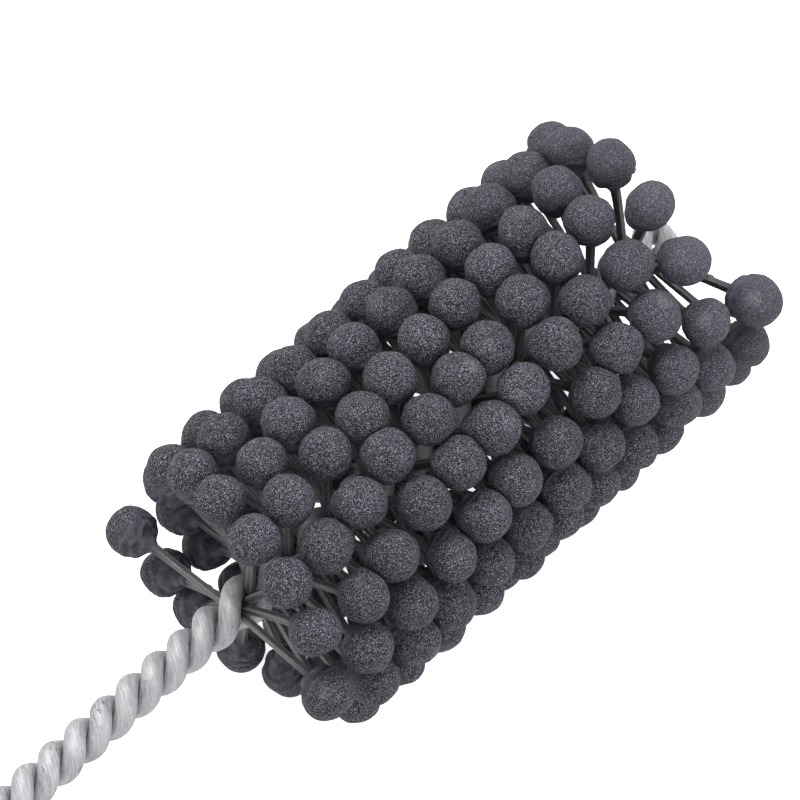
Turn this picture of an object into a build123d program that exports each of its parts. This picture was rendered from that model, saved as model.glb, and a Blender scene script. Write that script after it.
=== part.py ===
from build123d import *

import math
import os

# Flexible ball hone for cylinder bores.
#
# Two steel wires are twisted together, left-handed, into one stem. Nylon filaments lie across the
# stem side by side, pinched between the wires, so that their ends climb the stem in two spirals.
# Each filament is a strip that carries an abrasive globule on both ends.
#
# Sizes are in millimetres and angles in degrees. The stem's axis is +X, from the cut end of the
# shank at the origin to the tip, and +Z is up. Angles about the axis run from +Y towards +Z.

# Whole hone. The last balls lean a little past the stem's tip.
STEM_LENGTH = 343.0
HONE_DIAMETER = 83.0
TIP_LENGTH = 8.0
FILAMENT_COUNT = 87
FILAMENTS_PER_GROUP = 8
FIRST_FILAMENT_ANGLE = 166.1

# Abrasive globules
BALLS_PER_TURN = 15.67
GAP_ALONG_SPIRAL = 1.3
GAP_BETWEEN_SPIRALS = 0.21
NECK_DIAMETER = 3.2
NECK_LENGTH = 3.6
NECK_SPREAD = 36.0

# Nylon filaments: their width is across the stem and their thickness along it
FILAMENT_WIDTH = 2.3
FILAMENT_EDGE_RADIUS = 0.25
FILAMENT_IN_BALL = 2.0
GAP_BETWEEN_FILAMENTS = 0.12
PINCHED_WIDTH = 1.45
PINCHED_LENGTH = 6.2
FLARE_LENGTH = 1.6

# The filaments at both ends of the brush have no neighbour outside them and lean outwards from the
# wires. At the tip the wires are twisted a little further, which swings the last filaments round.
SPLAYED_FILAMENTS = 5
TIP_SPLAY = 4.0
SHANK_SPLAY = 2.5
SWUNG_FILAMENTS = 7
SWING_GROWTH_FILAMENTS = 4
TIP_SWING = -8.0

# Stem wires
WIRE_DIAMETER = 5.4
SHANK_LAY = 16.4
LAY_CHANGE_LENGTH = 3.0
SPREAD_LENGTH = 8.0
WIRE_END_ROUNDING = 1.2

# Clearances, each measured between two surfaces
WIRE_TO_WIRE = 0.03
WIRE_TO_FILAMENT = 0.15
FILAMENT_TO_BORE = 0.04
FILAMENT_END_TO_BORE = 0.2

# The spirals: the balls touch neither the next ball of their spiral nor the other spiral, and the
# filaments lie side by side in the stem
TURN_PER_FILAMENT = 360 / BALLS_PER_TURN
CHORD_TO_RADIUS = 2 * math.sin(math.radians(TURN_PER_FILAMENT / 2))
BALL_DIAMETER = (HONE_DIAMETER * CHORD_TO_RADIUS / 2 - GAP_ALONG_SPIRAL) / (1 + CHORD_TO_RADIUS / 2)
BALL_CIRCLE = (HONE_DIAMETER - BALL_DIAMETER) / 2
BRUSH_LAY = 2 * (BALL_DIAMETER + GAP_BETWEEN_SPIRALS)
FILAMENT_PITCH = BRUSH_LAY / BALLS_PER_TURN
FILAMENT_THICKNESS = FILAMENT_PITCH - GAP_BETWEEN_FILAMENTS
LAST_FILAMENT = STEM_LENGTH - TIP_LENGTH
FIRST_FILAMENT = LAST_FILAMENT - (FILAMENT_COUNT - 1) * FILAMENT_PITCH

# Beyond the last filament the wires close up again before the stem's rounded end
TIP_CLOSING_LENGTH = TIP_LENGTH - FILAMENT_PITCH - WIRE_END_ROUNDING

# Fineness of the wires' centrelines and of the search for the radius at which they meet
POINTS_PER_TURN = 9
HALF_TURN = 180
RADIUS_STEP = 0.003


def closest_approach(radius, lay):
    """Least distance between the centrelines of two wires wound opposite each other."""
    least = 2 * radius
    for turned in range(1, HALF_TURN + 1):
        across = math.sqrt(2 * (1 + math.cos(math.radians(turned)))) * radius
        along = lay * turned / (2 * HALF_TURN)
        least = min(least, math.hypot(across, along))
    return least


def twisted_pair_radius(lay):
    """Distance from the axis to the wires' centrelines where the two wires lie on each other."""
    radius = WIRE_DIAMETER / 2
    while closest_approach(radius, lay) < WIRE_DIAMETER + WIRE_TO_WIRE:
        radius += RADIUS_STEP
    return radius


SHANK_WIRE_RADIUS = twisted_pair_radius(SHANK_LAY)
BRUSH_WIRE_RADIUS = max(
    (WIRE_DIAMETER + PINCHED_WIDTH) / 2 + WIRE_TO_FILAMENT,
    twisted_pair_radius(BRUSH_LAY),
)


def filament_x(index):
    """Place of a filament along the stem."""
    return FIRST_FILAMENT + index * FILAMENT_PITCH


def filament_angle(index):
    """Angle of a filament's first half about the stem. The lay is left-handed."""
    return FIRST_FILAMENT_ANGLE - index * TURN_PER_FILAMENT


def ramp(share):
    """The share, kept between 0 and 1."""
    return min(max(share, 0.0), 1.0)


def ramp_area(length, change):
    """Area under a ramp that climbs from 0 to 1 within the change and goes on at 1."""
    return change * ramp(length / change) ** 2 / 2 + max(length - change, 0.0)


def nearness(filaments_away):
    """1 at the end of the brush, and 0 from the innermost of the filaments that lean outwards."""
    return ramp(1 - filaments_away / SPLAYED_FILAMENTS)


def lean(index):
    """How far a filament's balls stand out along the stem."""
    return TIP_SPLAY * nearness(FILAMENT_COUNT - 1 - index) - SHANK_SPLAY * nearness(index)


def swing(x):
    """How far the filaments at x are swung round the stem."""
    swung_length = x - filament_x(FILAMENT_COUNT - 1 - SWUNG_FILAMENTS)
    return TIP_SWING * ramp(swung_length / (SWING_GROWTH_FILAMENTS * FILAMENT_PITCH))


def stem_plane(index, side):
    """Plane at the stem's axis, its normal out between the wires along one half of a filament.

    Side is 0 or 1, and the plane's x is the stem's.
    """
    angle = math.radians(filament_angle(index) + 180 * side + swing(filament_x(index)))
    return Plane(
        origin=(filament_x(index), 0, 0),
        x_dir=(1, 0, 0),
        z_dir=(0, math.cos(angle), math.sin(angle)),
    )


def ball_plane(index):
    """Plane at the centre of a ball, its normal along the leaning filament, within the stem plane."""
    along = lean(index)
    out = math.sqrt(BALL_CIRCLE**2 - along**2)
    free = out - PINCHED_LENGTH / 2
    return Plane(origin=(along, 0, out), x_dir=(free, 0, -along), z_dir=(along, 0, free))


def wire_point(x, phase):
    """Point of a wire's centreline at x. On both sides of the brush the wires close up, to a shorter lay."""
    before_brush = filament_x(-1) - x
    after_brush = x - filament_x(FILAMENT_COUNT)
    closed = max(ramp(before_brush / SPREAD_LENGTH), ramp(after_brush / TIP_CLOSING_LENGTH))
    # turns counted from the start of the brush, with the rate of twist changing evenly beside it
    changes = ramp_area(after_brush, TIP_CLOSING_LENGTH) - ramp_area(before_brush, LAY_CHANGE_LENGTH)
    turns = -before_brush / BRUSH_LAY + changes * (1 / SHANK_LAY - 1 / BRUSH_LAY)
    radius = BRUSH_WIRE_RADIUS - (BRUSH_WIRE_RADIUS - SHANK_WIRE_RADIUS) * closed**2 * (3 - 2 * closed)
    angle = math.radians(filament_angle(-1) + phase - 360 * turns + swing(x))
    return (x, radius * math.cos(angle), radius * math.sin(angle))


def stem_wire(phase):
    """One wire of the stem, swept along its twisted centreline, with both ends cut square and rounded."""
    points = []
    x = -WIRE_DIAMETER
    while x < STEM_LENGTH + WIRE_DIAMETER:
        points.append(wire_point(x, phase))
        x += (BRUSH_LAY if FIRST_FILAMENT < x < LAST_FILAMENT else SHANK_LAY) / POINTS_PER_TURN
    envelope = SHANK_WIRE_RADIUS + WIRE_DIAMETER / 2
    outside = 2 * envelope
    with BuildPart() as wire:
        with BuildLine() as path:
            Spline(*points)
        with BuildSketch(Plane(origin=path.line @ 0, z_dir=path.line % 0)):
            Circle(WIRE_DIAMETER / 2)
        sweep()
        with BuildSketch(Plane.XZ):
            with BuildLine():
                Polyline(
                    (STEM_LENGTH - WIRE_END_ROUNDING, envelope),
                    (STEM_LENGTH - WIRE_END_ROUNDING, outside),
                    (WIRE_END_ROUNDING, outside),
                    (WIRE_END_ROUNDING, envelope),
                )
                RadiusArc(
                    (WIRE_END_ROUNDING, envelope),
                    (0, envelope - WIRE_END_ROUNDING),
                    -WIRE_END_ROUNDING,
                )
                Polyline(
                    (0, envelope - WIRE_END_ROUNDING),
                    (0, 0),
                    (STEM_LENGTH, 0),
                    (STEM_LENGTH, envelope - WIRE_END_ROUNDING),
                )
                RadiusArc(
                    (STEM_LENGTH, envelope - WIRE_END_ROUNDING),
                    (STEM_LENGTH - WIRE_END_ROUNDING, envelope),
                    -WIRE_END_ROUNDING,
                )
            make_face()
        revolve(axis=Axis.X, mode=Mode.INTERSECT)
    return wire.part


def filament_section(width, clearance=0.0):
    """Section of a filament of that width, or of the bore that it fits in with that clearance."""
    return RectangleRounded(
        FILAMENT_THICKNESS + 2 * clearance,
        width + 2 * clearance,
        FILAMENT_EDGE_RADIUS + clearance,
    )


def filament_half(index):
    """Half a filament, along +Z from the stem's axis: narrow and straight where it is pinched, and
    then in its full width to its ball.
    """
    pinched_end = Plane.XY.offset(PINCHED_LENGTH / 2)
    at_ball = ball_plane(index)
    free_length = (at_ball.origin - pinched_end.origin).length
    full_start = at_ball.offset(FLARE_LENGTH - free_length)
    with BuildPart() as half:
        with BuildSketch(Plane.XY):
            filament_section(PINCHED_WIDTH)
        extrude(amount=PINCHED_LENGTH / 2)
        with BuildSketch(pinched_end):
            filament_section(PINCHED_WIDTH)
        with BuildSketch(full_start):
            filament_section(FILAMENT_WIDTH)
        loft()
        with BuildSketch(full_start):
            filament_section(FILAMENT_WIDTH)
        extrude(amount=free_length - FLARE_LENGTH + FILAMENT_IN_BALL)
    return half.part


def globule():
    """One abrasive globule round its own centre: a ball that runs down the filament in a neck.

    Its blind bore opens towards the stem, along -Z.
    """
    ball = BALL_DIAMETER / 2
    neck = NECK_DIAMETER / 2
    neck_end = -ball - NECK_LENGTH
    bore_end = FILAMENT_IN_BALL + FILAMENT_END_TO_BORE
    spread = math.radians(NECK_SPREAD)
    shoulder = (ball * math.sin(spread), -ball * math.cos(spread))
    with BuildPart() as body:
        with BuildSketch(Plane.XZ):
            with BuildLine():
                TangentArc(shoulder, (neck, neck_end), tangent=(-math.cos(spread), -math.sin(spread)))
                Polyline((neck, neck_end), (0, neck_end), (0, ball))
                ThreePointArc((0, ball), (ball, 0), shoulder)
            make_face()
        revolve(axis=Axis.Z)
        with BuildSketch(Plane.XY.offset(neck_end)):
            filament_section(FILAMENT_WIDTH, FILAMENT_TO_BORE)
        extrude(amount=bore_end - neck_end, mode=Mode.SUBTRACT)
    return body.part


os.makedirs("parts", exist_ok=True)

for name, phase in (("wire_a", 90), ("wire_b", 270)):
    wire = stem_wire(phase)
    wire.label = name
    export_step(wire, f"parts/{name}.step")

ball = globule()
groups = math.ceil(FILAMENT_COUNT / FILAMENTS_PER_GROUP)
for group in range(groups):
    first = group * FILAMENTS_PER_GROUP
    members = range(first, min(first + FILAMENTS_PER_GROUP, FILAMENT_COUNT))
    number = f"{group + 1:02d}"

    # the two halves of a filament meet at the axis
    with BuildPart() as filaments:
        for index in members:
            half = filament_half(index)
            with Locations(stem_plane(index, 0), stem_plane(index, 1)):
                add(half)
    filaments.part.label = f"filaments_{number}"
    export_step(filaments.part, f"parts/filaments_{number}.step")

    for side, spiral in enumerate("ab"):
        with BuildPart() as balls:
            for index in members:
                with Locations(stem_plane(index, side).location * ball_plane(index).location):
                    add(ball)
        balls.part.label = f"balls_{spiral}_{number}"
        export_step(balls.part, f"parts/balls_{spiral}_{number}.step")
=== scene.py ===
import itertools
import math

import bpy
import numpy as np
from mathutils import Matrix, Vector


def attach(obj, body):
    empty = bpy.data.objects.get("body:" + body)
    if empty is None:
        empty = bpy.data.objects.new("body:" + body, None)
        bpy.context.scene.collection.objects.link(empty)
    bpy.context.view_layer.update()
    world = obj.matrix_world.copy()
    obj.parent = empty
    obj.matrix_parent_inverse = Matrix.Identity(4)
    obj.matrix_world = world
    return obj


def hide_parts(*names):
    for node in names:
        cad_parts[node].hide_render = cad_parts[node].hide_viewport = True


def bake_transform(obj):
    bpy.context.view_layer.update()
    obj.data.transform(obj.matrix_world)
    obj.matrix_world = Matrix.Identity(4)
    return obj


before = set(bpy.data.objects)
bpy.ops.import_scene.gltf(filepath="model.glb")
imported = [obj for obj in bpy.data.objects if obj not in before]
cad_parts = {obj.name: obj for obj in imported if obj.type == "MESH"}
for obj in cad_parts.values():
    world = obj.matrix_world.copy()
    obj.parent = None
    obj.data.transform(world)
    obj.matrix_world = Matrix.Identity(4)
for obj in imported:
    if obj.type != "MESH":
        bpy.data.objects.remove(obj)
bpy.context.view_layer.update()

# The looks of a flexible ball hone: two galvanised wires twisted into a stem, nylon filaments across
# it, and a lumpy abrasive globule on each filament's end. Sizes are in metres and angles in degrees,
# unless a comment says otherwise. The stem's axis is +X, from the cut end of the shank to the tip.

MM = 0.001

# Whole hone, as in the solids
STEM_LENGTH = 343 * MM
HONE_DIAMETER = 83 * MM
TIP_LENGTH = 8 * MM
FILAMENT_COUNT = 87
FILAMENTS_PER_GROUP = 8
FIRST_FILAMENT_ANGLE = 166.1

# Globules, as in the solids
BALLS_PER_TURN = 15.67
GAP_ALONG_SPIRAL = 1.3 * MM
GAP_BETWEEN_SPIRALS = 0.21 * MM
NECK_LENGTH = 3.6 * MM

# Filaments, as in the solids
FILAMENT_WIDTH = 2.3 * MM
FILAMENT_EDGE_RADIUS = 0.25 * MM
FILAMENT_IN_BALL = 2 * MM
GAP_BETWEEN_FILAMENTS = 0.12 * MM
PINCHED_WIDTH = 1.45 * MM
PINCHED_LENGTH = 6.2 * MM
FLARE_LENGTH = 1.6 * MM
SPLAYED_FILAMENTS = 5
TIP_SPLAY = 4 * MM
SHANK_SPLAY = 2.5 * MM
SWUNG_FILAMENTS = 7
SWING_GROWTH_FILAMENTS = 4
TIP_SWING = -8

# Wires, as in the solids
WIRE_DIAMETER = 5.4 * MM
SHANK_WIRE_RADIUS = 2.724 * MM
BRUSH_WIRE_RADIUS = 3.575 * MM
SHANK_LAY = 16.4 * MM
LAY_CHANGE_LENGTH = 3 * MM
SPREAD_LENGTH = 8 * MM
WIRE_END_ROUNDING = 1.2 * MM

# Worked out as in the solids
TURN_PER_FILAMENT = 360 / BALLS_PER_TURN
HALF_CHORD_TO_RADIUS = math.sin(math.radians(TURN_PER_FILAMENT / 2))
BALL_DIAMETER = (HONE_DIAMETER * HALF_CHORD_TO_RADIUS - GAP_ALONG_SPIRAL) / (1 + HALF_CHORD_TO_RADIUS)
BALL_RADIUS = BALL_DIAMETER / 2
BALL_CIRCLE = (HONE_DIAMETER - BALL_DIAMETER) / 2
BRUSH_LAY = 2 * (BALL_DIAMETER + GAP_BETWEEN_SPIRALS)
FILAMENT_PITCH = BRUSH_LAY / BALLS_PER_TURN
FILAMENT_THICKNESS = FILAMENT_PITCH - GAP_BETWEEN_FILAMENTS
LAST_FILAMENT = STEM_LENGTH - TIP_LENGTH
FIRST_FILAMENT = LAST_FILAMENT - (FILAMENT_COUNT - 1) * FILAMENT_PITCH
TIP_CLOSING_LENGTH = TIP_LENGTH - FILAMENT_PITCH - WIRE_END_ROUNDING
GROUP_COUNT = math.ceil(FILAMENT_COUNT / FILAMENTS_PER_GROUP)


# Camera, floor and light

# The camera of the photograph, from a fit of the ball spirals
CAMERA_PLACE = Vector((-0.08265, -0.33212, 0.84413))
CAMERA_RIGHT = Vector((0.70772, -0.70636, 0.0))
CAMERA_FORWARD = Vector((0.35341, 0.35386, -0.866))
CAMERA_SENSOR = 36
CAMERA_LENS = 179.6
CAMERA_CLIP_START = 0.01
CAMERA_CLIP_END = 20

FLOOR_HEIGHT = -HONE_DIAMETER / 2
FLOOR_HALF_WIDTH = 6
FLOOR_COLOUR = (0.9, 0.9, 0.9, 1)
FLOOR_ROUGHNESS = 0.9
FLOOR_SPECULAR = 0.1
FLOOR_GLOW = 0.8
WORLD_STRENGTH = 0.95
WHITE = (1, 1, 1, 1)


def add_camera():
    """The camera at the photograph's place."""
    data = bpy.data.cameras.new("camera")
    data.sensor_width = CAMERA_SENSOR
    data.lens = CAMERA_LENS
    data.clip_start = CAMERA_CLIP_START
    data.clip_end = CAMERA_CLIP_END
    camera = bpy.data.objects.new("camera", data)
    bpy.context.scene.collection.objects.link(camera)
    back = -CAMERA_FORWARD.normalized()
    right = CAMERA_RIGHT.normalized()
    up = back.cross(right)
    axes = Matrix((right, up, back)).transposed()
    camera.matrix_world = Matrix.Translation(CAMERA_PLACE) @ axes.to_4x4()
    bpy.context.scene.camera = camera


def add_light(name, direction, distance, side, power, colour):
    """A square area light that looks at the middle of the brush."""
    target = Vector(((FIRST_FILAMENT + LAST_FILAMENT) / 2, 0, 0))
    data = bpy.data.lights.new(name, "AREA")
    data.size = side
    data.energy = power
    data.color = colour
    light = bpy.data.objects.new(name, data)
    bpy.context.scene.collection.objects.link(light)
    towards = Vector(direction).normalized()
    light.location = target + towards * distance
    light.rotation_mode = "QUATERNION"
    light.rotation_quaternion = towards.to_track_quat("Z", "Y")


def add_floor():
    """A plain white studio floor under the hone."""
    signs = ((-1, -1), (1, -1), (1, 1), (-1, 1))
    corners = [(x * FLOOR_HALF_WIDTH, y * FLOOR_HALF_WIDTH, FLOOR_HEIGHT) for x, y in signs]
    mesh = bpy.data.meshes.new("floor")
    mesh.from_pydata(corners, [], [(0, 1, 2, 3)])
    floor = bpy.data.objects.new("floor", mesh)
    bpy.context.scene.collection.objects.link(floor)
    material = bpy.data.materials.new("floor_white")
    material.use_nodes = True
    shader = material.node_tree.nodes["Principled BSDF"]
    shader.inputs["Base Color"].default_value = FLOOR_COLOUR
    shader.inputs["Roughness"].default_value = FLOOR_ROUGHNESS
    shader.inputs["Specular IOR Level"].default_value = FLOOR_SPECULAR
    shader.inputs["Emission Color"].default_value = WHITE
    shader.inputs["Emission Strength"].default_value = FLOOR_GLOW
    mesh.materials.append(material)
    floor.visible_diffuse = False
    floor.visible_glossy = False
    floor.visible_shadow = False


def add_world():
    """An even white world."""
    world = bpy.data.worlds.new("studio")
    world.use_nodes = True
    background = world.node_tree.nodes["Background"]
    background.inputs["Color"].default_value = WHITE
    background.inputs["Strength"].default_value = WORLD_STRENGTH
    bpy.context.scene.world = world


# Smooth noise for the shapes

HASH_FACTORS = np.array([73856093, 19349663, 83492791], np.int64)
HASH_SEED_FACTOR = 2654435761
HASH_MIX_FACTOR = 1274126177
HASH_MASK = 0x7FFFFFFF
HASH_SHIFTS = (13, 15)
AXIS_SEED_STEP = 101
NOISE_GAIN = 1.6


def hashed(cells, seed):
    """A repeatable random number from -1 to 1 for each whole-numbered cell."""
    mixed = (cells * HASH_FACTORS).sum(1) ^ (seed * HASH_SEED_FACTOR & HASH_MASK)
    for shift in HASH_SHIFTS:
        mixed = (mixed ^ (mixed >> shift)) * HASH_MIX_FACTOR & HASH_MASK
    return mixed / (HASH_MASK / 2) - 1


def noise(points, seed):
    """Smooth noise, about -1 to 1, at points whose unit is one lump."""
    base = np.floor(points).astype(np.int64)
    inside = points - base
    fade = inside**3 * (inside * (inside * 6 - 15) + 10)
    total = np.zeros(len(points))
    for corner in itertools.product((0, 1), repeat=3):
        slope = np.stack([hashed(base + corner, seed + AXIS_SEED_STEP * axis) for axis in range(3)], 1)
        share = np.where(corner, fade, 1 - fade).prod(1)
        total += share * (slope * (inside - corner)).sum(1)
    return total * NOISE_GAIN


def smoothstep(values, low, high):
    """0 below low, 1 above high and a smooth rise in between."""
    share = np.clip((values - low) / (high - low), 0, 1)
    return share * share * (3 - 2 * share)


def unit(vectors):
    """The vector, or each row of vectors, at length 1."""
    return vectors / np.linalg.norm(vectors, axis=-1, keepdims=True)


# Meshes from rings of points

def ring_faces(rings, around, first):
    """Quads between rings of points, with a fan to one extra point at each end."""
    here = np.arange(around)
    after = (here + 1) % around
    faces = []
    for ring in range(rings - 1):
        low, high = first + ring * around, first + (ring + 1) * around
        faces += np.stack([low + here, low + after, high + after, high + here], 1).tolist()
    start, end = first + rings * around, first + rings * around + 1
    last = first + (rings - 1) * around
    faces += np.stack([first + after, first + here, np.full(around, start)], 1).tolist()
    faces += np.stack([last + here, last + after, np.full(around, end)], 1).tolist()
    return faces


class Shape:
    """Points, faces and values per point, gathered for one piece."""

    def __init__(self):
        self.points = []
        self.faces = []
        self.values = {}
        self.count = 0

    def add_rings(self, rings, ends, values):
        """Adds a tube: rings is (rings, around, 3), ends its two end points, and values one list per name."""
        count, around = rings.shape[:2]
        self.points.append(np.concatenate([rings.reshape(-1, 3), ends]))
        self.faces += ring_faces(count, around, self.count)
        for name, value in values.items():
            flat = np.asarray(value, float).reshape(-1)
            flat = np.concatenate([flat, flat[[0, -1]]])
            self.values.setdefault(name, []).append(flat)
        self.count += count * around + 2

    def piece(self, name, material, slot, replaced):
        """The finished object, with its material."""
        mesh = bpy.data.meshes.new(name)
        mesh.from_pydata(np.concatenate(self.points).tolist(), [], self.faces)
        mesh.polygons.foreach_set("use_smooth", [True] * len(mesh.polygons))
        for value_name, parts in self.values.items():
            layer = mesh.attributes.new(value_name, "FLOAT", "POINT")
            layer.data.foreach_set("value", np.concatenate(parts).astype(np.float32))
        mesh.materials.append(material)
        mesh.update()
        made = bpy.data.objects.new(name, mesh)
        bpy.context.scene.collection.objects.link(made)
        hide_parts(replaced)
        return made


def ring_middles(rings):
    """The middle points of the first and the last ring."""
    return np.stack([rings[0].mean(0), rings[-1].mean(0)])


# Places of the filaments and balls

BEND_SEED = 11
BALL_WANDER = np.array([0.3, 0.35, 0.0]) * MM
# The drift and the list below it were not chosen by hand. They are rounded from the output of a program
# that compared the photograph with a render, ball by ball.
# Drift of the photographed spirals from regular ones, at some filaments: millimetres along and round the stem
DRIFT_FILAMENTS = (0, 10, 35, 58, 74, 86)
DRIFT_ALONG = (1.3, 0.1, -0.5, -1.5, -0.1, 0.0)
DRIFT_ROUND = (0.5, 0.2, 0.0, 1.0, 1.2, -0.5)
# Balls that stand clearly off their spiral, by filament and side: millimetres along and round the stem
OFF_SPIRAL = {
    (0, 1): (0.5, 2.5),
    (1, 0): (1.5, -2.5),
    (1, 1): (1.5, -1.5),
    (2, 0): (-0.5, -2.5),
    (2, 1): (1, 0.5),
    (3, 0): (-1, -0.5),
    (4, 1): (2, 1.5),
    (8, 1): (-1.5, 0),
    (9, 1): (1, 0.5),
    (11, 1): (-1.5, 0),
    (12, 1): (0, 2),
    (18, 0): (-1, 0),
    (24, 1): (1.5, 0),
    (25, 1): (1, -1.5),
    (26, 1): (-1, -2),
    (27, 1): (0, 1.5),
    (32, 0): (1.5, 0),
    (33, 0): (1, -1.5),
    (35, 0): (-1, 0.5),
    (39, 1): (0, 2),
    (47, 0): (0, 2),
    (48, 0): (0.5, 1.5),
    (50, 0): (-2, 1),
    (51, 0): (0, 1.5),
    (56, 1): (3, 0),
    (57, 1): (-0.5, -1.5),
    (59, 1): (0, 1.5),
    (60, 1): (0, 2),
    (63, 0): (0.5, -1.5),
    (64, 0): (0, -3),
    (65, 0): (-1, -2.5),
    (66, 0): (0, -1),
    (67, 0): (-1, 2),
    (71, 1): (0, 1),
    (73, 1): (0, 1),
    (75, 1): (0, 1),
    (79, 0): (-1, -0.5),
    (80, 0): (0, -1),
    (81, 0): (1.5, -0.5),
    (82, 0): (1.5, -1),
    (83, 0): (-1.5, -0.5),
    (85, 1): (-2, 1),
}


def ramp(share):
    """The share, held between 0 and 1."""
    return np.clip(share, 0.0, 1.0)


def ramp_area(length, change):
    """Area under a ramp that climbs from 0 to 1 within the change and goes on at 1."""
    return change * ramp(length / change) ** 2 / 2 + np.maximum(length - change, 0)


def nearness(filaments_away):
    """1 at the end of the brush, and 0 from the innermost of the filaments that lean outwards."""
    return float(ramp(1 - filaments_away / SPLAYED_FILAMENTS))


def filament_x(index):
    """Place of a filament along the stem."""
    return FIRST_FILAMENT + index * FILAMENT_PITCH


def lean(index):
    """How far a ball stands from its filament's place along the stem, towards the tip."""
    return TIP_SPLAY * nearness(FILAMENT_COUNT - 1 - index) - SHANK_SPLAY * nearness(index)


def swing(x):
    """Angle that the stem and its filaments are swung by near the tip."""
    swung_length = x - filament_x(FILAMENT_COUNT - 1 - SWUNG_FILAMENTS)
    return TIP_SWING * ramp(swung_length / (SWING_GROWTH_FILAMENTS * FILAMENT_PITCH))


def filament_angle(index, side):
    """Angle of one half of a filament round the stem."""
    turned = FIRST_FILAMENT_ANGLE - index * TURN_PER_FILAMENT
    return turned + 180 * side + swing(filament_x(index))


def stem_axes(index, side):
    """Rows are the directions along the stem, across the filament and out along it."""
    angle = math.radians(filament_angle(index, side))
    out = np.array([0, math.cos(angle), math.sin(angle)])
    along = np.array([1.0, 0, 0])
    return np.stack([along, np.cross(out, along), out])


def arm(index, side):
    """Random numbers, root, ball centre and axes of one half of a filament, with its small bend."""
    random = np.random.default_rng([BEND_SEED, index, side])
    axes = stem_axes(index, side)
    along = lean(index)
    out = math.sqrt(BALL_CIRCLE**2 - along**2)
    moved_along, moved_round = OFF_SPIRAL.get((index, side), (0, 0))
    moved_along += np.interp(index, DRIFT_FILAMENTS, DRIFT_ALONG)
    moved_round += np.interp(index, DRIFT_FILAMENTS, DRIFT_ROUND)
    bend = random.uniform(-1, 1, 3) * BALL_WANDER + np.array([moved_along, -moved_round, 0]) * MM
    root = np.array([filament_x(index), 0, 0])
    centre = root + (np.array([along, 0, out]) + bend) @ axes
    return random, root, centre, axes


def free_axes(root, centre, axes):
    """Rows are the directions along, across and out of a filament's free part and its ball."""
    out = unit(centre - root - axes[2] * PINCHED_LENGTH / 2)
    across = unit(np.cross(out, axes[0]))
    return np.stack([np.cross(across, out), across, out])


ALL_ARMS = [(index, side) for index in range(FILAMENT_COUNT) for side in (0, 1)]
ALL_CENTRES = np.array([arm(index, side)[2] for index, side in ALL_ARMS])
BALL_TO_BALL = 0.05 * MM
PRESSED_SOFTNESS = 0.25 * MM
NEIGHBOUR_DISTANCE = 1.2 * BALL_DIAMETER


def press(points, centre):
    """Flattens a ball where it meets its neighbours, halfway between their centres."""
    away = np.linalg.norm(ALL_CENTRES - centre, axis=1)
    for neighbour in np.flatnonzero((away > 0) & (away < NEIGHBOUR_DISTANCE)):
        facing = (ALL_CENTRES[neighbour] - centre) / away[neighbour]
        reach = (points - centre) @ facing
        limit = (away[neighbour] - BALL_TO_BALL) / 2
        pressed = limit - PRESSED_SOFTNESS * np.log1p(np.exp((limit - reach) / PRESSED_SOFTNESS))
        points = points + (pressed - reach)[:, None] * facing
    return points


# Abrasive globules

BALL_AROUND = 60
BALL_RINGS = 42
NECK_RINGS = 10
GLOBULE_SEED = 7
# Share of the cap within the first ring that its middle point rises by
CAP_RISE = 0.3

# Size, as shares of the solids' ball
BALL_SIZE = 1.03
BALL_SIZE_SPREAD = 0.015
BALL_STRETCH_SPREAD = 0.018
END_BALL_LOSS = 0.075
SMALLER_BALLS = 12
# Balls clearly bigger or smaller than the others, by filament and side, judged from the same program's
# output and from crops of the photograph
ODD_SIZES = {
    (0, 0): 0.05,
    (0, 1): 0.08,
    (12, 1): -0.05,
    (24, 1): -0.06,
    (63, 0): -0.05,
    (75, 1): -0.05,
    (86, 1): 0.1,
}

# Neck that runs down the filament: its spread, and its length as a share of the solids' neck
NECK_SPREADS = (24, 40)
NECK_LENGTHS = (0.4, 1.2)
NECK_START_PULL = 1.5
NECK_END_PULL = 1.2
NECK_OVER_FILAMENT = 0.1 * MM
NECK_OFFSET = 0.55 * MM
# Share of the ball's relief that is gone where the neck ends
NECK_CALM = 0.75

# Relief of the whole ball: heights and depths as shares of its radius, and how many waves fit in that
SWELL_HEIGHT = 0.03
SWELLS_PER_RADIUS = 1.1
SWELL_SHIFT = 9
BUMP_HEIGHT = 0.016
BUMPS_PER_RADIUS = 2.9
GRAIN_HEIGHT = 0.007
GRAINS_PER_RADIUS = 9
FLAT_COUNT = 12
FLAT_DEPTH = (0.01, 0.05)
FLAT_SHARPNESS = 0.76

# Lumps and hollows of the inner side. Their levels go from 1 at the outer end of the ball to -1 at its neck.
LUMP_COUNT = 5
LUMP_LEVELS = (-0.95, -0.4)
LUMP_HEIGHT = (-0.06, 0.11)
LUMP_SHARPNESS = 0.72

# Folds of the inner side, pressed on like clay: creases, rolls round the neck and wrinkles. They fade in
# over these levels, from -1 at the outer end of the ball to 1 at its neck.
INNER_SIDE = (-0.3, 0.7)
CREASE_HEIGHT = 0.12
CREASE_LEVEL = 0.78
CREASES_PER_RADIUS = (1.5, 1.5, 2.6)
CREASE_BEND = 0.5
CREASE_BENDS_PER_RADIUS = 1.3
ROLL_HEIGHT = 0.045
ROLLS_PER_RADIUS = 2.7
ROLL_BEND = 0.8
ROLL_BENDS_PER_RADIUS = 1.2
UNBROKEN_ROLLS = 0.6
ROLL_BREAKS_PER_RADIUS = 1.1
WRINKLE_HEIGHT = 0.03
WRINKLES_PER_RADIUS = (2.4, 2.4, 4.2)
# Painted light and shade on the folds: the colour is lighter on their crests and darker in their valleys, by
# how near each point is to a crest
CREST_LIGHT_MIDDLE = 0.5
CREST_LIGHT_OF_ROLLS = 0.55
CREST_LIGHT_OF_CREASES = 1.2

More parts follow.
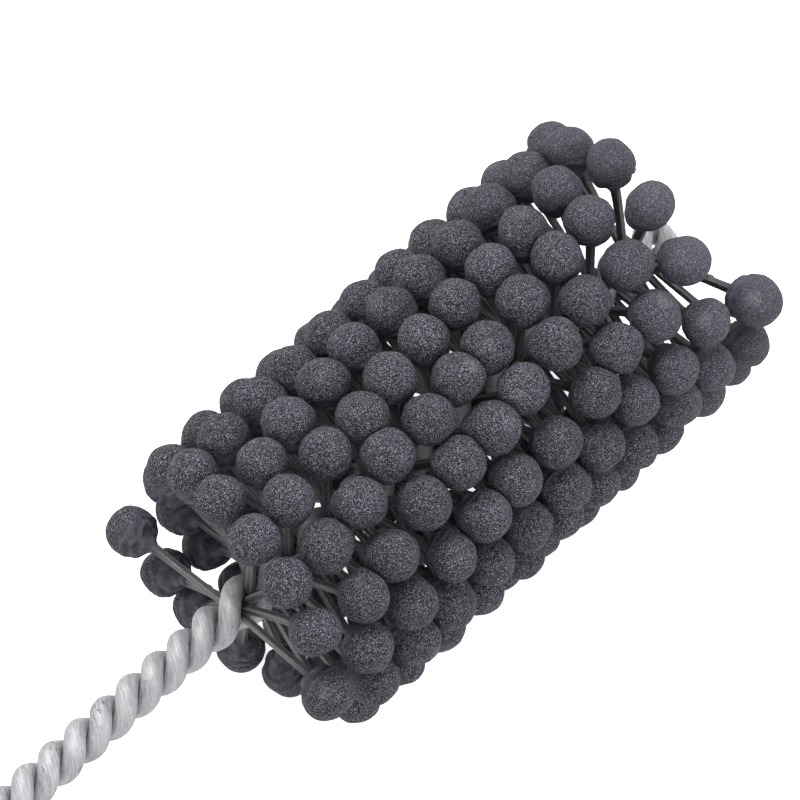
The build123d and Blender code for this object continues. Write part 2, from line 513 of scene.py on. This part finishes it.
# Each layer of noise adds its own number to the ball's seed
CREASE_SEED = 300
BUMP_SEED = 500
WRINKLE_SEED = 700
CREASE_BEND_SEED = 900
GRAIN_SEED = 1100
ROLL_BEND_SEED = 1300
ROLL_BREAK_SEED = 1700

# Pale scuffs on the outer side: random ones, and the balls that have one in the photograph, which faces
# the same way on each of them
SCUFFED_SHARE = 0.2
SCUFF_STRENGTHS = (0.4, 1)
SCUFF_SCATTER = 0.45
SCUFF_EDGES = (0.93, 0.995)
SCUFFED_BALLS = {(0, 0), (79, 0), (86, 1)}
SCUFF_FACING = np.array([-0.4, -0.2, 0.9])

# The one ball with a nub, and the way that the nub faces
NUB_BALL = (86, 1)
NUB_FACING = np.array([-0.1, 0.75, 0.65])
NUB_HEIGHT = 0.13
NUB_EDGES = (0.86, 1.0)

# Balls get smoother towards the tip, and paler there: the paleness is painted light on the tip end
TIP_PALING_ZONE = (LAST_FILAMENT - 50 * MM, LAST_FILAMENT + 5 * MM)


def ball_profile(random):
    """Radius and height of the rings of a smooth globule with its neck, and how far each is on the neck."""
    spread = math.radians(random.uniform(*NECK_SPREADS))
    neck_length = NECK_LENGTH * random.uniform(*NECK_LENGTHS)
    polar = np.linspace(0, math.pi - spread, BALL_RINGS + 1)[1:]
    radius, height = BALL_RADIUS * np.sin(polar), BALL_RADIUS * np.cos(polar)
    share = np.linspace(0, 1, NECK_RINGS + 1)[1:]
    start = np.array([radius[-1], height[-1]])
    end = np.array([FILAMENT_WIDTH / 2 + NECK_OVER_FILAMENT, -BALL_RADIUS - neck_length])
    pull = (end - start)[1]
    start_slope = np.array([-math.cos(spread), -math.sin(spread)]) * abs(pull) * NECK_START_PULL
    end_slope = np.array([0, pull * NECK_END_PULL])
    s = share[:, None]
    neck = (
        (2 * s**3 - 3 * s**2 + 1) * start
        + (s**3 - 2 * s**2 + s) * start_slope
        + (3 * s**2 - 2 * s**3) * end
        + (s**3 - s**2) * end_slope
    )
    on_neck = np.concatenate([np.zeros(BALL_RINGS), share])
    return np.append(radius, neck[:, 0]), np.append(height, neck[:, 1]), on_neck


def smooth_globule(radius, height, on_neck):
    """Points of the smooth globule, with the filament's direction as its third axis."""
    angles = np.linspace(0, 2 * math.pi, BALL_AROUND, endpoint=False)
    flat_neck = on_neck[:, None] ** 2
    x = radius[:, None] * np.cos(angles) * (1 - flat_neck * (1 - FILAMENT_THICKNESS / FILAMENT_WIDTH))
    y = radius[:, None] * np.sin(angles)
    z = np.repeat(height[:, None], BALL_AROUND, 1)
    return np.stack([x, y, z], 2).reshape(-1, 3)


def flats(random, direction):
    """Depth of the flats all over a ball."""
    depth = np.zeros(len(direction))
    for _ in range(FLAT_COUNT):
        facing = unit(random.normal(size=3))
        depth += random.uniform(*FLAT_DEPTH) * smoothstep(direction @ facing, FLAT_SHARPNESS, 1.0)
    return depth


def lumps(random, direction):
    """Height of the lumps and hollows of the inner side."""
    height = np.zeros(len(direction))
    for _ in range(LUMP_COUNT):
        around = random.uniform(0, 2 * math.pi)
        level = random.uniform(*LUMP_LEVELS)
        flank = math.sqrt(1 - level**2)
        facing = np.array([flank * math.cos(around), flank * math.sin(around), level])
        height += random.uniform(*LUMP_HEIGHT) * smoothstep(direction @ facing, LUMP_SHARPNESS, 1.0)
    return height


def folds(random, cells, seed):
    """Height of the clay-like folds of the inner side, and how near each point is to a crest, which sets the
    painted light on the crests and the painted shade in the valleys.
    """
    bent = CREASE_BEND * noise(cells * CREASE_BENDS_PER_RADIUS, seed + CREASE_BEND_SEED)[:, None]
    creases = 1 - np.abs(noise(cells * CREASES_PER_RADIUS + bent, seed + CREASE_SEED)) - CREASE_LEVEL
    wave = cells[:, 2] * ROLLS_PER_RADIUS + random.uniform(0, 1)
    wave += ROLL_BEND * noise(cells * ROLL_BENDS_PER_RADIUS, seed + ROLL_BEND_SEED)
    unbroken = ramp(UNBROKEN_ROLLS + noise(cells * ROLL_BREAKS_PER_RADIUS, seed + ROLL_BREAK_SEED))
    rolls = np.cos(2 * math.pi * wave) * unbroken
    height = CREASE_HEIGHT * creases + ROLL_HEIGHT * rolls
    height += WRINKLE_HEIGHT * noise(cells * WRINKLES_PER_RADIUS, seed + WRINKLE_SEED)
    return height, ramp(CREST_LIGHT_MIDDLE + CREST_LIGHT_OF_ROLLS * rolls + CREST_LIGHT_OF_CREASES * creases)


def ball_stretch(random, index, side):
    """Size of a ball in its three directions, as shares of the solids' ball."""
    from_brush_end = min(index, FILAMENT_COUNT - 1 - index)
    size = BALL_SIZE - END_BALL_LOSS * max(0, 1 - from_brush_end / SMALLER_BALLS)
    size += BALL_SIZE_SPREAD * random.uniform(-1, 1) + ODD_SIZES.get((index, side), 0)
    return size * (1 + BALL_STRETCH_SPREAD * random.uniform(-1, 1, 3))


def scuff_mark(random, index, side, direction, ball_axes):
    """How scuffed each point of a ball is."""
    facing = random.normal(size=3) * SCUFF_SCATTER + (0, 0, 1)
    strength = float(random.random() < SCUFFED_SHARE) * random.uniform(*SCUFF_STRENGTHS)
    if (index, side) in SCUFFED_BALLS:
        facing, strength = ball_axes @ SCUFF_FACING, 1
    return strength * smoothstep(direction @ unit(facing), *SCUFF_EDGES)


def add_globule(shape, index, side):
    """One lumpy globule: nearly round outside, with creased clay-like folds where it was pressed on."""
    random, root, centre, axes = arm(index, side)
    ball_axes = free_axes(root, centre, axes)
    radius, height, on_neck = ball_profile(random)
    local = smooth_globule(radius, height, on_neck)
    direction = unit(local)
    inner = smoothstep(-direction[:, 2], *INNER_SIDE)
    neck = np.repeat(on_neck, BALL_AROUND)
    on_ball = 1 - neck
    seed = GLOBULE_SEED + 2 * index + side
    cells = local / BALL_RADIUS

    change = SWELL_HEIGHT * noise(cells * SWELLS_PER_RADIUS + SWELL_SHIFT, seed)
    change += BUMP_HEIGHT * noise(cells * BUMPS_PER_RADIUS, seed + BUMP_SEED)
    change += GRAIN_HEIGHT * noise(cells * GRAINS_PER_RADIUS, seed + GRAIN_SEED)
    change -= flats(random, direction)
    change += lumps(random, direction) * on_ball
    fold_height, painted_crest_light = folds(random, cells, seed)
    change += inner * np.sqrt(on_ball) * fold_height

    stretch = ball_stretch(random, index, side)
    grown = local * ((stretch - 1) * on_ball[:, None] + 1)
    grown += direction * (change * BALL_RADIUS * (1 - NECK_CALM * neck))[:, None]
    grown[:, :2] += NECK_OFFSET * random.uniform(-1, 1, 2) * (on_ball**2)[:, None]
    scuff = scuff_mark(random, index, side, direction, ball_axes)
    tone = np.full(len(local), random.uniform(0, 1))
    if (index, side) == NUB_BALL:
        nub = smoothstep(direction @ (ball_axes @ NUB_FACING), *NUB_EDGES)
        grown += direction * (NUB_HEIGHT * BALL_RADIUS * nub)[:, None]

    placed = press(centre + grown @ ball_axes, centre)
    tip_paling = smoothstep(placed[:, 0], *TIP_PALING_ZONE)
    rings = placed.reshape(len(radius), BALL_AROUND, 3)
    ends = ring_middles(rings)
    ends[0] += ball_axes[2] * (BALL_RADIUS * (1 - math.cos(math.pi / BALL_RINGS)) * CAP_RISE)
    shape.add_rings(rings, ends, {"inner": inner, "painted_crest_light": painted_crest_light, "scuff": scuff, "tone": tone, "tip_paling": tip_paling})


# Nylon filaments

CORNER_POINTS = 4
FILAMENT_RINGS = 40
PINCHED_RINGS = 4
HALVES_PER_PIECE = 4
FILAMENT_TWIST = 14
FILAMENT_BOW = 0.35 * MM
WIDTH_SHARES = (0.9, 1.0)
# The corner value is this part of a half wave over each corner, with 1 in the corner's middle
CORNER_WAVE_START = 0.15
CORNER_WAVE_LENGTH = 0.7

# The coat of abrasive that ends in the ball
COAT_END = BALL_CIRCLE - BALL_RADIUS
COAT_LENGTH = 9 * MM
COAT_THICKNESS = 0.12 * MM

# Roughness of the surface: height, and the length of its two waves by their seeds
ROUGH_HEIGHT = 0.03 * MM
ROUGH_WAVES = {3: 1.1 * MM, 5: 0.5 * MM}

# The crumb of abrasive on the filament of the ball with the nub
CRUMB_PLACE = 21 * MM
CRUMB_LENGTH = 0.7 * MM
CRUMB_HEIGHT = 0.6 * MM


def section(width, thickness, edge_radius):
    """Rounded rectangle in (thickness, width), with 1 at the middle of its corners in the third column."""
    points = []
    for corner in range(4):
        sign_x = 1 if corner in (0, 3) else -1
        sign_y = 1 if corner in (0, 1) else -1
        for step in range(CORNER_POINTS):
            share = step / (CORNER_POINTS - 1)
            angle = math.radians(90 * (corner + share))
            points.append((
                sign_x * (thickness / 2 - edge_radius) + edge_radius * math.cos(angle),
                sign_y * (width / 2 - edge_radius) + edge_radius * math.sin(angle),
                math.sin(math.pi * (CORNER_WAVE_START + CORNER_WAVE_LENGTH * share)),
            ))
        if corner in (0, 2):
            points.append((0, sign_y * width / 2, 0))
        else:
            points.append((sign_x * thickness / 2, 0, 0))
    return np.array(points)


def filament_rings(random, root, centre, axes):
    """Rings of one half of a filament, how much each point is on a corner, and its length from the root."""
    twist_end = math.radians(random.uniform(-1, 1) * FILAMENT_TWIST)
    bow = random.uniform(-1, 1, 2) * FILAMENT_BOW
    width_share = random.uniform(*WIDTH_SHARES)
    along, across, out = free_axes(root, centre, axes)
    pinched_end = root + axes[2] * PINCHED_LENGTH / 2
    free_length = np.linalg.norm(centre - pinched_end) + FILAMENT_IN_BALL
    lengths = np.concatenate([
        np.linspace(0, PINCHED_LENGTH / 2, PINCHED_RINGS, endpoint=False),
        PINCHED_LENGTH / 2 + np.linspace(0, free_length, FILAMENT_RINGS),
    ])
    rings, corners = [], []
    for length in lengths:
        gone = length - PINCHED_LENGTH / 2
        flare = float(smoothstep(gone, 0, FLARE_LENGTH))
        width = (PINCHED_WIDTH + (FILAMENT_WIDTH - PINCHED_WIDTH) * flare) * width_share
        outline = section(width, FILAMENT_THICKNESS, FILAMENT_EDGE_RADIUS)
        if gone <= 0:
            middle, x_axis, y_axis = root + axes[2] * length, axes[0], axes[1]
        else:
            share = min(gone / free_length, 1)
            bent = math.sin(math.pi * share) ** 2
            middle = pinched_end + out * gone + (along * bow[0] + across * bow[1]) * bent
            turned = twist_end * share
            x_axis = along * math.cos(turned) + across * math.sin(turned)
            y_axis = across * math.cos(turned) - along * math.sin(turned)
        rings.append(middle + outline[:, :1] * x_axis + outline[:, 1:2] * y_axis)
        corners.append(outline[:, 2])
    from_root = np.repeat(lengths[:, None], len(outline), 1)
    return np.array(rings), np.array(corners), from_root


def add_filament(shape, index, side):
    """One half of a filament: a strip, pinched in the stem, that flares and runs into its ball."""
    rings, corners, from_root = filament_rings(*arm(index, side))
    around = rings.shape[1]
    outward = unit(rings - rings.mean(1, keepdims=True))
    free_part = smoothstep(from_root, PINCHED_LENGTH / 2, PINCHED_LENGTH)
    coat = smoothstep(from_root, COAT_END - COAT_LENGTH, COAT_END)
    waves = sum(noise(rings.reshape(-1, 3) / length, seed + index) for seed, length in ROUGH_WAVES.items())
    rough = ROUGH_HEIGHT * waves.reshape(from_root.shape) * free_part + coat * COAT_THICKNESS
    if (index, side) == NUB_BALL:
        crumb = np.exp(-((from_root - CRUMB_PLACE) / CRUMB_LENGTH) ** 2)
        rough += CRUMB_HEIGHT * crumb * (np.arange(around) < around / 4)
    rings = rings + outward * rough[:, :, None]
    turn_share = np.repeat(np.linspace(0, 1, around, endpoint=False)[None], len(rings), 0)
    values = {"corner": corners, "coat": coat, "out": from_root / MM, "round": turn_share}
    shape.add_rings(rings, ring_middles(rings), values)


# Stem wires

WIRE_AROUND = 40
WIRE_RING_LENGTH = 0.7 * MM
# Length of a wire for each length of the stem, by its twist
WIRE_TO_STEM_LENGTH = 1.45
# Keeps points on the stem's axis from a division by zero
LEAST_REACH = 1e-9

# Small dents and swells of a wire that is a little thinner than the solid's: how many fit in its radius
# and how long they are
WIRE_INSET = 0.03 * MM
DENTS_PER_RADIUS = 1.2
DENT_LENGTH = 6 * MM
DENT_DEPTH = 0.05 * MM
FINE_DENTS_PER_DENT = 2.3
FINE_DENT_DEPTH = 0.025 * MM
FINE_DENT_SEED = 50

# Darker wires within the brush, partly dust of the abrasive and partly painted shade from the balls: where it
# begins and where it ends
DUST_AND_SHADE_BEGINS = (FIRST_FILAMENT + 2 * MM, FIRST_FILAMENT + 15 * MM)
DUST_AND_SHADE_ENDS = (LAST_FILAMENT - 4 * MM, LAST_FILAMENT + 1 * MM)


def wire_centre(x, phase):
    """Points of a wire's centreline. On both sides of the brush the wires close up, to a shorter lay."""
    before_brush = filament_x(-1) - x
    after_brush = x - filament_x(FILAMENT_COUNT)
    closed = np.maximum(ramp(before_brush / SPREAD_LENGTH), ramp(after_brush / TIP_CLOSING_LENGTH))
    changes = ramp_area(after_brush, TIP_CLOSING_LENGTH) - ramp_area(before_brush, LAY_CHANGE_LENGTH)
    turns = -before_brush / BRUSH_LAY + changes * (1 / SHANK_LAY - 1 / BRUSH_LAY)
    radius = BRUSH_WIRE_RADIUS - (BRUSH_WIRE_RADIUS - SHANK_WIRE_RADIUS) * smoothstep(closed, 0, 1)
    angle = np.radians(FIRST_FILAMENT_ANGLE + TURN_PER_FILAMENT + phase - 360 * turns + swing(x))
    return np.stack([x, radius * np.cos(angle), radius * np.sin(angle)], 1)


def round_stem_ends(points):
    """Presses the wires' cut ends to the flat faces of the stem, with their rim rounded."""
    points = points.copy()
    x = np.clip(points[:, 0], 0, STEM_LENGTH)
    from_end = np.minimum(x, STEM_LENGTH - x)
    envelope = SHANK_WIRE_RADIUS + WIRE_DIAMETER / 2
    missing = np.clip(WIRE_END_ROUNDING - from_end, 0, WIRE_END_ROUNDING)
    allowed = envelope - WIRE_END_ROUNDING + np.sqrt(WIRE_END_ROUNDING**2 - missing**2)
    reach = np.hypot(points[:, 1], points[:, 2])
    shrink = np.where(missing > 0, np.minimum(1, allowed / np.maximum(reach, LEAST_REACH)), 1)
    points[:, 0] = x
    points[:, 1:] *= shrink[:, None]
    return points


def add_wire(name, phase, seed, material):
    """One wire of the stem, with small dents."""
    x = np.arange(-WIRE_DIAMETER, STEM_LENGTH + WIRE_DIAMETER, WIRE_RING_LENGTH / WIRE_TO_STEM_LENGTH)
    line = wire_centre(x, phase)
    tangent = unit(np.gradient(line, axis=0))
    outwards = line * (0, 1, 1)
    outwards -= (outwards * tangent).sum(1, keepdims=True) * tangent
    outwards = unit(outwards)
    sideways = np.cross(tangent, outwards)
    angles = np.linspace(0, 2 * math.pi, WIRE_AROUND, endpoint=False)
    cosines, sines = np.cos(angles)[None, :, None], np.sin(angles)[None, :, None]
    spoke = outwards[:, None] * cosines + sideways[:, None] * sines
    steps = np.linalg.norm(np.diff(line, axis=0), axis=1)
    travelled = np.concatenate([[0], np.cumsum(steps)])
    from_end = np.repeat(travelled[:, None], WIRE_AROUND, 1)
    round_the_wire = np.repeat(angles[None], len(x), 0)

    cells = np.stack([
        np.cos(round_the_wire) * DENTS_PER_RADIUS,
        np.sin(round_the_wire) * DENTS_PER_RADIUS,
        from_end / DENT_LENGTH,
    ], 2).reshape(-1, 3)
    dents = DENT_DEPTH * noise(cells, seed)
    dents += FINE_DENT_DEPTH * noise(cells * FINE_DENTS_PER_DENT, seed + FINE_DENT_SEED)
    radius = WIRE_DIAMETER / 2 - WIRE_INSET + dents.reshape(from_end.shape)
    rings = line[:, None] + spoke * radius[:, :, None]

    inside = (rings[:, :, 0].max(1) > 0) & (rings[:, :, 0].min(1) < STEM_LENGTH)
    rings, from_end, round_the_wire = rings[inside], from_end[inside], round_the_wire[inside]
    rings = round_stem_ends(rings.reshape(-1, 3)).reshape(rings.shape)
    x = rings[:, :, 0]
    shape = Shape()
    shape.add_rings(rings, ring_middles(rings), {
        "dust_and_shade": smoothstep(x, *DUST_AND_SHADE_BEGINS) * (1 - smoothstep(x, *DUST_AND_SHADE_ENDS)),
        "travel": from_end / MM,
        "around_x": np.cos(round_the_wire),
        "around_y": np.sin(round_the_wire),
    })
    piece = shape.piece(name + "_zinc", material, "galvanised_steel_wire", name)
    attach(piece, "stem")


# Materials

ABRASIVE_COLOUR = (0.11, 0.1048, 0.1325, 1)
# Even pale grey that the grit fades to towards the tip: painted light, which also smooths the grit
TIP_PALING_GREY = (0.85, 0.85, 0.85, 1)
SCUFF_COLOUR = (0.24, 0.23, 0.25, 1)
NYLON_DARK = (0.016, 0.015, 0.018)
NYLON_PALE = (0.05, 0.048, 0.055)
# Pale edge colour: partly dust, partly a painted highlight
NYLON_DUST_AND_HIGHLIGHT = (0.32, 0.315, 0.33, 1)
ZINC_DARK = (0.385, 0.375, 0.4)
ZINC_PALE = (0.5, 0.49, 0.505)
# Painted shade in the groove where the two wires meet
ZINC_GROOVE_SHADE = (0.06, 0.057, 0.062, 1)
# Partly dust of the abrasive and partly painted shade from the balls, within the brush
ZINC_DUST_AND_SHADE = (0.2, 0.195, 0.205, 1)
ZINC_CRACK = (0.035, 0.033, 0.04, 1)


class Nodes:
    """Adds shader nodes to a material."""

    def __init__(self, name):
        self.material = bpy.data.materials.new(name)
        self.material.use_nodes = True
        self.tree = self.material.node_tree
        self.shader = self.tree.nodes["Principled BSDF"]

    def put(self, socket, value):
        """Sets one input to a value, or links it to another node's output."""
        if isinstance(value, bpy.types.NodeSocket):
            self.tree.links.new(value, socket)
        else:
            socket.default_value = value

    def add(self, kind, *numbered, settings=None, **named):
        """A node of that kind, with its inputs by their order or by their names."""
        made = self.tree.nodes.new("ShaderNode" + kind)
        for key, value in (settings or {}).items():
            setattr(made, key, value)
        for key, value in [*enumerate(numbered), *named.items()]:
            self.put(made.inputs[key], value)
        return made

    def look(self, **inputs):
        """Sets or links the material's own inputs, with _ for the spaces in their names."""
        for name, value in inputs.items():
            self.put(self.shader.inputs[name.replace("_", " ")], value)

    def bump(self, height, strength, distance):
        """Relief in the shading only."""
        bump = self.add("Bump", Height=height, Strength=strength, Distance=distance)
        self.look(Normal=bump.outputs[0])

    def value(self, name):
        """A value per point of the mesh."""
        return self.add("Attribute", settings={"attribute_name": name}).outputs["Fac"]

    def math(self, operation, *numbers):
        """One calculation with numbers."""
        return self.add("Math", *numbers, settings={"operation": operation}).outputs[0]

    def times(self, first, second):
        """Two numbers multiplied."""
        return self.math("MULTIPLY", first, second)

    def ramp(self, fac, *stops):
        """A colour or grey for each place of fac: each stop is a place and a grey or colour."""
        made = self.add("ValToRGB", fac)
        elements = made.color_ramp.elements
        while len(elements) < len(stops):
            elements.new(0.5)
        for element, (place, colour) in zip(elements, stops):
            element.position = place
            element.color = (*colour, 1) if isinstance(colour, tuple) else (colour, colour, colour, 1)
        return made.outputs["Color"]

    def mix(self, fac, first, second, blend="MIX"):
        """Two colours mixed."""
        made = self.add("Mix", settings={"data_type": "RGBA", "blend_type": blend})
        for key, value in ((0, fac), (6, first), (7, second)):
            self.put(made.inputs[key], value)
        return made.outputs[2]

    def tinted(self, first, second):
        """Two colours multiplied."""
        return self.mix(1.0, first, second, "MULTIPLY")

    def vector(self, x, y, z):
        """Three numbers as a place."""
        return self.add("CombineXYZ", x, y, z).outputs[0]

    def millimetres(self):
        """The place on the piece at rest, in millimetres, so a texture's scale is in cells per millimetre."""
        place = self.add("TexCoord").outputs["Object"]
        return self.add("VectorMath", place, settings={"operation": "SCALE"}, Scale=1 / MM).outputs[0]

    def noise(self, place, scale, detail=2.0, roughness=0.5, distortion=0.0):
        """Blender's noise, from 0 to 1."""
        made = self.add(
            "TexNoise", Vector=place, Scale=scale, Detail=detail, Roughness=roughness, Distortion=distortion
        )
        return made.outputs["Fac"]


def abrasive_material():
    """Charcoal silicon carbide in resin: dark grains with light specks, smeared smooth on the inner side,
    with painted light on the crests and painted shade in the valleys of its folds, and smoother and paler
    towards the tip, the paleness being painted light.
    """
    n = Nodes("abrasive_globule")
    place = n.millimetres()
    grains = n.add("TexVoronoi", settings={"feature": "F1"}, Vector=place, Scale=3.5, Randomness=1.0)
    from_grain = grains.outputs["Distance"]
    grain_tone = n.add("SeparateColor", grains.outputs["Color"]).outputs[0]
    fine = n.noise(place, scale=5.5, detail=1.0, roughness=0.7)
    blotch = n.noise(place, scale=0.28)
    smear = n.noise(place, scale=0.9, detail=3.0, roughness=0.6, distortion=0.6)

    grit = n.ramp(grain_tone, (0.0, 0.5), (0.5, 0.95), (0.9, 1.5), (1.0, 2.4))
    grit = n.tinted(grit, n.ramp(from_grain, (0.08, 2.2), (0.35, 1.0), (0.58, 0.1)))
    grit = n.tinted(grit, n.ramp(fine, (0.34, 0.35), (0.5, 1.0), (0.66, 1.9)))
    # Painted light: the grit fades to an even pale grey towards the tip, which also smooths it.
    grit = n.mix(n.times(n.value("tip_paling"), 0.45), grit, TIP_PALING_GREY)
    # Painted light on the fold crests and painted shade in their valleys.
    fold_light_and_shade = n.ramp(n.value("painted_crest_light"), (0.05, 0.5), (0.5, 0.72), (0.95, 1.3))
    smeared = n.times(n.value("inner"), 0.8)
    texture = n.mix(smeared, grit, n.tinted(n.ramp(smear, (0.3, 0.6), (0.7, 1.2)), fold_light_and_shade))

    tone = n.math("MULTIPLY_ADD", n.value("tone"), 0.25, 0.88)
    tone = n.times(tone, n.math("MULTIPLY_ADD", blotch, 0.4, 0.8))
    base = n.tinted(ABRASIVE_COLOUR, texture)
    base = n.tinted(base, n.add("CombineColor", tone, tone, tone).outputs[0])
    scratches = n.ramp(n.noise(place, scale=2.2, detail=3.0, roughness=0.7), (0.42, 0.0), (0.62, 0.6))
    base = n.mix(n.times(n.value("scuff"), scratches), base, SCUFF_COLOUR)

    roughness = n.ramp(grain_tone, (0.0, 0.8), (0.9, 0.65), (1.0, 0.5))
    n.look(Base_Color=base, Roughness=roughness, Specular_IOR_Level=0.3)
    grainy = n.times(n.math("SUBTRACT", 1.0, from_grain), n.math("SUBTRACT", 1.0, smeared))
    n.bump(n.math("ADD", grainy, n.times(fine, 0.8)), strength=0.9, distance=0.14 * MM)
    return n.material


def nylon_material():
    """Black nylon with drawn streaks, pale edges that are partly dust and partly a painted highlight, and an
    abrasive coat towards the ball.
    """
    n = Nodes("nylon_filament")
    place = n.millimetres()
    streak_place = n.vector(n.times(n.value("round"), 22.0), n.times(n.value("out"), 0.3), 0.0)
    streak = n.noise(streak_place, scale=1.0, detail=3.0, roughness=0.6)
    mottle = n.noise(place, scale=2.4, detail=4.0, roughness=0.65)
    grit = n.noise(place, scale=4.5, detail=3.0, roughness=0.7)

    base = n.ramp(streak, (0.3, NYLON_DARK), (0.7, NYLON_PALE))
    # Pale corners of the strip: partly dust, partly a painted highlight along them.
    edge_dust_and_highlight = n.times(n.value("corner"), n.ramp(mottle, (0.35, 0.1), (0.65, 0.85)))
    base = n.mix(edge_dust_and_highlight, base, NYLON_DUST_AND_HIGHLIGHT)
    coat_tone = n.ramp(grit, (0.3, 0.028), (0.72, 0.12))
    coat = n.times(n.value("coat"), n.ramp(mottle, (0.3, 0.35), (0.6, 1.0)))
    base = n.mix(coat, base, coat_tone)

    n.look(Base_Color=base, Roughness=n.math("MULTIPLY_ADD", n.value("coat"), 0.4, 0.36))
    relief = n.math("ADD", n.times(streak, 0.5), n.times(coat_tone, 3.0))
    n.bump(relief, strength=0.4, distance=0.08 * MM)
    return n.material


def zinc_material():
    """Matt galvanised wire: pale zinc with fine streaks along the wire, cloudy patches and a few cracks,
    painted shade in the groove on its inner side, and dust of the abrasive mixed with painted shade within
    the brush.
    """
    n = Nodes("galvanised_wire")
    travel = n.value("travel")
    around_x = n.value("around_x")
    around_y = n.value("around_y")

    def on_wire(per_radius, along):
        """A place on the wire's surface, for a texture that follows the wire."""
        return n.vector(n.times(around_x, per_radius), n.times(around_y, per_radius), along)

    patch_place = on_wire(2.7, travel)
    streak = n.noise(on_wire(5.5, n.times(travel, 0.16)), scale=1.6, detail=4.0, roughness=0.65)
    cloud = n.noise(patch_place, scale=0.35, detail=3.0, roughness=0.55)
    spangle = n.noise(patch_place, scale=2.2, detail=4.0, roughness=0.7)
    base = n.ramp(cloud, (0.3, ZINC_DARK), (0.7, ZINC_PALE))
    base = n.mix(0.45, base, n.ramp(streak, (0.3, 0.15), (0.5, 0.55), (0.7, 0.85)), "OVERLAY")
    base = n.mix(0.25, base, n.ramp(spangle, (0.3, 0.2), (0.7, 0.8)), "OVERLAY")
    # Painted shade on the side of each wire that faces the stem's axis, in the groove where the two wires
    # meet.
    groove_shade = n.ramp(around_x, (0.0, 1.0), (0.2, 0.0))
    base = n.mix(n.times(groove_shade, 0.15), base, ZINC_GROOVE_SHADE)
    # Darker within the brush: partly dust of the abrasive, partly painted shade from the balls around the
    # wires.
    mottle = n.ramp(n.noise(patch_place, scale=1.4, detail=3.0, roughness=0.6), (0.3, 0.6), (0.7, 0.95))
    base = n.mix(n.times(n.value("dust_and_shade"), mottle), base, ZINC_DUST_AND_SHADE)

    crooked = n.math("MULTIPLY_ADD", n.noise(patch_place, scale=0.8), 3.0, n.times(travel, 0.3))
    plates = n.add(
        "TexVoronoi", settings={"feature": "DISTANCE_TO_EDGE"}, Vector=on_wire(3.2, crooked), Scale=0.8
    )
    line = n.ramp(plates.outputs["Distance"], (0.0, 1.0), (0.035, 0.0))
    cracked = n.ramp(n.noise(patch_place, scale=0.16, detail=1.0), (0.52, 0.0), (0.6, 1.0))
    crack = n.times(line, cracked)
    base = n.mix(crack, base, ZINC_CRACK)

    n.look(Base_Color=base, Metallic=0.4, Roughness=n.math("MULTIPLY_ADD", spangle, 0.3, 0.4))
    relief = n.math("ADD", n.times(streak, 0.6), n.times(spangle, 0.5))
    n.bump(n.math("SUBTRACT", relief, crack), strength=0.35, distance=0.1 * MM)
    return n.material


# Making everything

def add_globules(number, members, spiral, side, material):
    """The globules of one group and spiral, as one piece."""
    globules = Shape()
    for index in members:
        add_globule(globules, index, side)
    node = f"balls_{spiral}_{number}"
    piece = globules.piece(node + "_grit", material, "abrasive_globule", node)
    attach(piece, "balls")


def add_strips(name, number, chosen, side, material):
    """Neighbouring halves of filaments on one side, as one piece."""
    strips = Shape()
    for index in chosen:
        add_filament(strips, index, side)
    piece = strips.piece(name, material, "nylon_filament", f"filaments_{number}")
    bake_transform(piece)


bpy.context.scene.view_settings.view_transform = "Standard"
add_camera()
add_floor()
add_world()
add_light("key", direction=(0.1, 0.4, 0.9), distance=1.3, side=0.9, power=11.5, colour=(1, 0.985, 0.975))
add_light("fill", direction=(0.55, -0.75, 0.4), distance=1.5, side=1.2, power=6, colour=(0.96, 0.97, 1))

zinc = zinc_material()
abrasive = abrasive_material()
nylon = nylon_material()

add_wire("wire_a", phase=90, seed=21, material=zinc)
add_wire("wire_b", phase=270, seed=22, material=zinc)

for group in range(GROUP_COUNT):
    first = group * FILAMENTS_PER_GROUP
    members = range(first, min(first + FILAMENTS_PER_GROUP, FILAMENT_COUNT))
    number = f"{group + 1:02d}"
    for side, spiral in enumerate("ab"):
        add_globules(number, members, spiral, side, abrasive)
        # n and f are the nearer and the farther part of the group, seen from the shank
        for part, start in zip("nf", range(0, len(members), HALVES_PER_PIECE)):
            chosen = members[start:start + HALVES_PER_PIECE]
            add_strips(f"filaments_{number}_{spiral}{part}", number, chosen, side, nylon)
